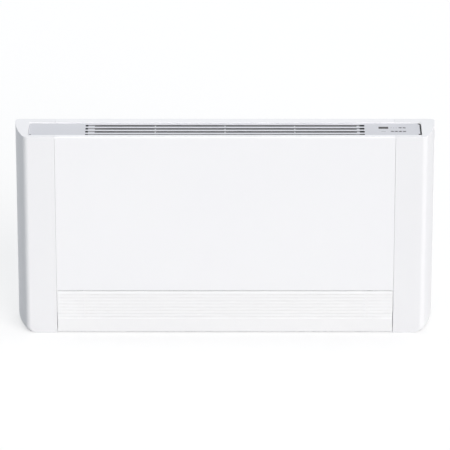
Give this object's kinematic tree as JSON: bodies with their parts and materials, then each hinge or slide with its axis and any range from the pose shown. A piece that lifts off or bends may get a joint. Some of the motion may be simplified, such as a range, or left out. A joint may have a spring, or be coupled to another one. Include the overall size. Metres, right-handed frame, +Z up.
{
  "type": "fan coil unit",
  "caption": "Slim white wall fan coil unit with bulging side covers, slotted top air outlet with tilting vanes, louvred intake grille that tips open, water coil and cross-flow fan.",
  "frame": {"origin": "centre of the footprint on the floor line", "axes": "+X to the right seen from the front, +Y towards the wall, +Z up"},
  "size_m": [1.137, 0.131, 0.579],
  "materials": {
    "white_powder_coat": "satin white powder coat on folded steel sheet",
    "white_abs": "satin white moulded ABS",
    "grey_abs": "fine textured light grey moulded ABS",
    "key_abs": "light grey moulded key caps",
    "black_abs": "matt black moulded plastic",
    "galvanised_steel": "bare galvanised sheet",
    "bright_steel": "bright turned steel",
    "zinc_screws": "zinc plated screws",
    "ferrite": "dark ferrite catch magnets",
    "filter_plastic": "dark grey filter frame",
    "filter_net": "woven nylon filter net",
    "bronze_bush": "sintered bronze bush",
    "grey_rubber": "soft rubber isolators",
    "motor_paint": "grey lacquered motor shell",
    "fin_aluminium": "aluminium fins pressed on the tubes",
    "copper": "bare copper tube",
    "brass": "turned brass",
    "box_plastic": "light grey flame retardant plastic",
    "circuit_board": "green lacquered circuit board",
    "smoked_acrylic": "smoked display window"
  },
  "bodies": {
    "cabinet": {"front_panel": "white_powder_coat", "rear_top_rail": "white_powder_coat", "left_side_cover": "white_abs", "right_side_cover": "white_abs", "outlet_grille": "grey_abs", "rear_scroll": "black_abs", "front_baffle": "black_abs", "drip_tray": "black_abs", "cable_gland": "black_abs", "back_panel": "galvanised_steel", "left_shoulder": "galvanised_steel", "right_shoulder": "galvanised_steel", "base_rail": "galvanised_steel", "left_cover_arms": "galvanised_steel", "right_cover_arms": "galvanised_steel", "coil_end_plates": "galvanised_steel", "hinge_pins": "bright_steel", "motor_screws": "zinc_screws", "lid_screws": "zinc_screws", "board_screws": "zinc_screws", "cover_screws": "zinc_screws", "frame_screws": "zinc_screws", "grille_magnets": "ferrite", "fan_bearing": "bronze_bush", "bearing_grommet": "grey_rubber", "motor_mounts": "grey_rubber", "fan_motor": "motor_paint", "coil_core": "fin_aluminium", "coil_bends": "copper", "flow_header": "copper", "return_header": "copper", "air_vent_body": "brass", "electronics_box": "box_plastic", "electronics_lid": "box_plastic", "power_board": "circuit_board", "control_board": "circuit_board", "display_window": "smoked_acrylic"},
    "vane_1": {"air_vane_1": "black_abs"},
    "vane_2": {"air_vane_2": "black_abs"},
    "vane_3": {"air_vane_3": "black_abs"},
    "vane_link": {"vane_link": "black_abs"},
    "intake_grille": {"intake_grille": "white_abs"},
    "filter": {"filter_frame": "filter_plastic", "filter_mesh": "filter_net"},
    "fan": {"fan_rotor": "black_abs", "fan_stub_shaft": "bright_steel", "motor_shaft": "bright_steel"},
    "air_vent_screw": {"air_vent_screw": "brass"},
    "key_power": {"key_power": "key_abs"},
    "key_mode": {"key_mode": "key_abs"},
    "key_fan": {"key_fan": "key_abs"},
    "key_minus": {"key_minus": "key_abs"},
    "key_plus": {"key_plus": "key_abs"},
    "key_night": {"key_night": "key_abs"}
  },
  "joints": [
    {"name": "vane_tilt_1", "type": "hinge", "parent": "cabinet", "child": "vane_1", "pos_m": [0, -0.03075, 0.5685], "axis": [1, 0, 0], "range_deg": [-20, 20]},
    {"name": "vane_tilt_2", "type": "hinge", "parent": "cabinet", "child": "vane_2", "pos_m": [0, -0.00925, 0.5685], "axis": [1, 0, 0], "range_deg": [-20, 20]},
    {"name": "vane_tilt_3", "type": "hinge", "parent": "cabinet", "child": "vane_3", "pos_m": [0, 0.01225, 0.5685], "axis": [1, 0, 0], "range_deg": [-20, 20]},
    {"name": "vane_link_swing", "type": "hinge", "parent": "vane_1", "child": "vane_link", "pos_m": [0.38575, -0.02888, 0.5597], "axis": [1, 0, 0], "range_deg": [-20, 20]},
    {"name": "grille_tilt", "type": "hinge", "parent": "cabinet", "child": "intake_grille", "pos_m": [0, -0.0575, 0.0125], "axis": [1, 0, 0], "range_deg": [0, 50]},
    {"name": "filter_slide", "type": "slide", "parent": "intake_grille", "child": "filter", "axis": [0, 0, 1], "range_m": [0, 0.09]},
    {"name": "fan_spin", "type": "hinge", "parent": "cabinet", "child": "fan", "pos_m": [0, 0.0005, 0.45], "axis": [1, 0, 0], "continuous": true},
    {"name": "vent_turn", "type": "hinge", "parent": "cabinet", "child": "air_vent_screw", "pos_m": [-0.425, -0.00907, 0.36887], "axis": [-1, 0, 0], "range_deg": [0, 360]},
    {"name": "key_power_press", "type": "slide", "parent": "cabinet", "child": "key_power", "axis": [0, 0, -1], "range_m": [0, 0.0008], "stiffness_N_per_m": 600, "springref_m": -0.0006},
    {"name": "key_mode_press", "type": "slide", "parent": "cabinet", "child": "key_mode", "axis": [0, 0, -1], "range_m": [0, 0.0008], "stiffness_N_per_m": 600, "springref_m": -0.0006},
    {"name": "key_fan_press", "type": "slide", "parent": "cabinet", "child": "key_fan", "axis": [0, 0, -1], "range_m": [0, 0.0008], "stiffness_N_per_m": 600, "springref_m": -0.0006},
    {"name": "key_minus_press", "type": "slide", "parent": "cabinet", "child": "key_minus", "axis": [0, 0, -1], "range_m": [0, 0.0008], "stiffness_N_per_m": 600, "springref_m": -0.0006},
    {"name": "key_plus_press", "type": "slide", "parent": "cabinet", "child": "key_plus", "axis": [0, 0, -1], "range_m": [0, 0.0008], "stiffness_N_per_m": 600, "springref_m": -0.0006},
    {"name": "key_night_press", "type": "slide", "parent": "cabinet", "child": "key_night", "axis": [0, 0, -1], "range_m": [0, 0.0008], "stiffness_N_per_m": 600, "springref_m": -0.0006}
  ],
  "couplings": [
    {"joint": "vane_tilt_2", "follows": "vane_tilt_1", "ratio": 1},
    {"joint": "vane_tilt_3", "follows": "vane_tilt_1", "ratio": 1},
    {"joint": "vane_link_swing", "follows": "vane_tilt_1", "ratio": -1}
  ]
}
